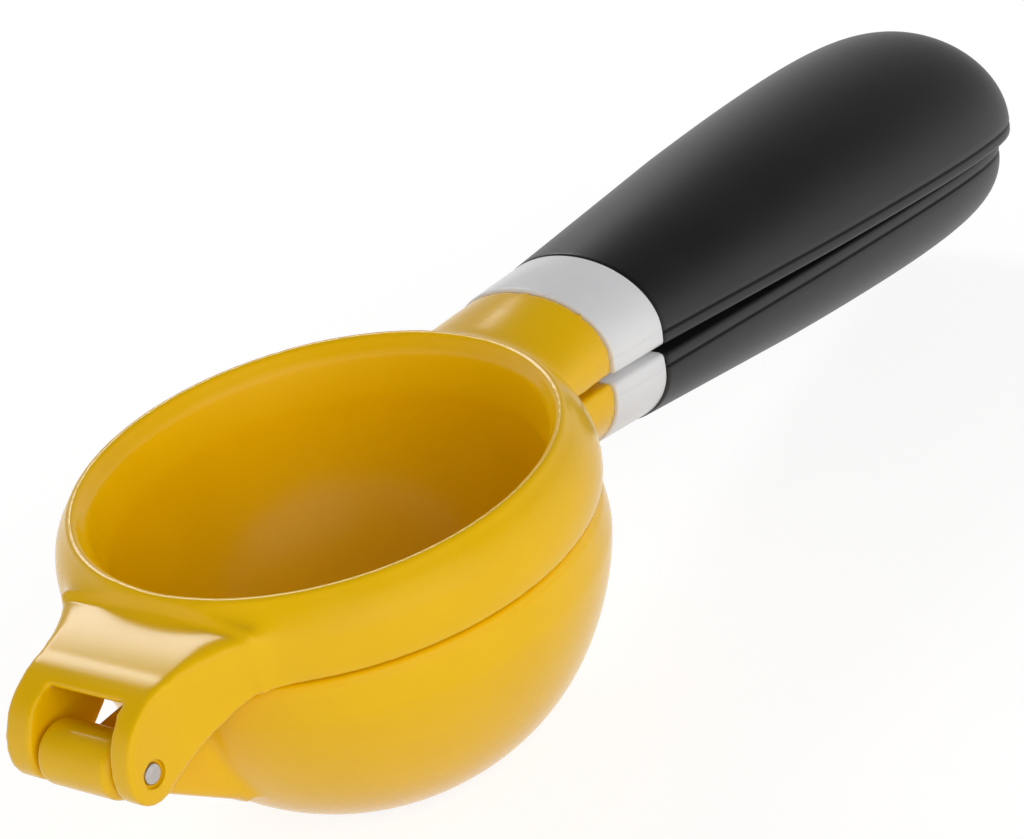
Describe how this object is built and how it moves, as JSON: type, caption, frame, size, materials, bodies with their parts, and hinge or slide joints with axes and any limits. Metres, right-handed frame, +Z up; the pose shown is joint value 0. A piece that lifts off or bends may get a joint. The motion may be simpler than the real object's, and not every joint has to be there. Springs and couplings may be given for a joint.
{
  "type": "citrus squeezer",
  "caption": "Hinged hand squeezer for lemons: a domed press cup closes over a perforated strainer bowl, with rubber-gripped handles.",
  "frame": {"origin": "centre of the small flat foot under the strainer bowl", "axes": "+Z up along the bowl's axis, +X from the hinge end towards the handle ends, so the length lies along X and the hinge pin along Y"},
  "size_m": [0.2381, 0.0854, 0.054],
  "materials": {
    "yellow_coat": "smooth glossy yellow coating on cast aluminium",
    "white_collar": "smooth satin white",
    "black_rubber": "matt, very fine moulded grain",
    "pin_steel": "turned and ground",
    "core_plastic": "as moulded, hidden"
  },
  "bodies": {
    "lower": {"bowl_arm": "yellow_coat", "lower_collar": "white_collar", "lower_core": "core_plastic", "lower_grip": "black_rubber", "lower_tang_pin": "pin_steel"},
    "upper": {"press_arm": "yellow_coat", "hinge_pin": "pin_steel", "upper_collar": "white_collar", "upper_core": "core_plastic", "upper_grip": "black_rubber", "upper_tang_pin": "pin_steel"}
  },
  "joints": [
    {"name": "arm_hinge", "type": "hinge", "parent": "lower", "child": "upper", "pos_m": [-0.0578, 0, 0.0378], "axis": [0, -1, 0], "range_deg": [0, 180]}
  ]
}
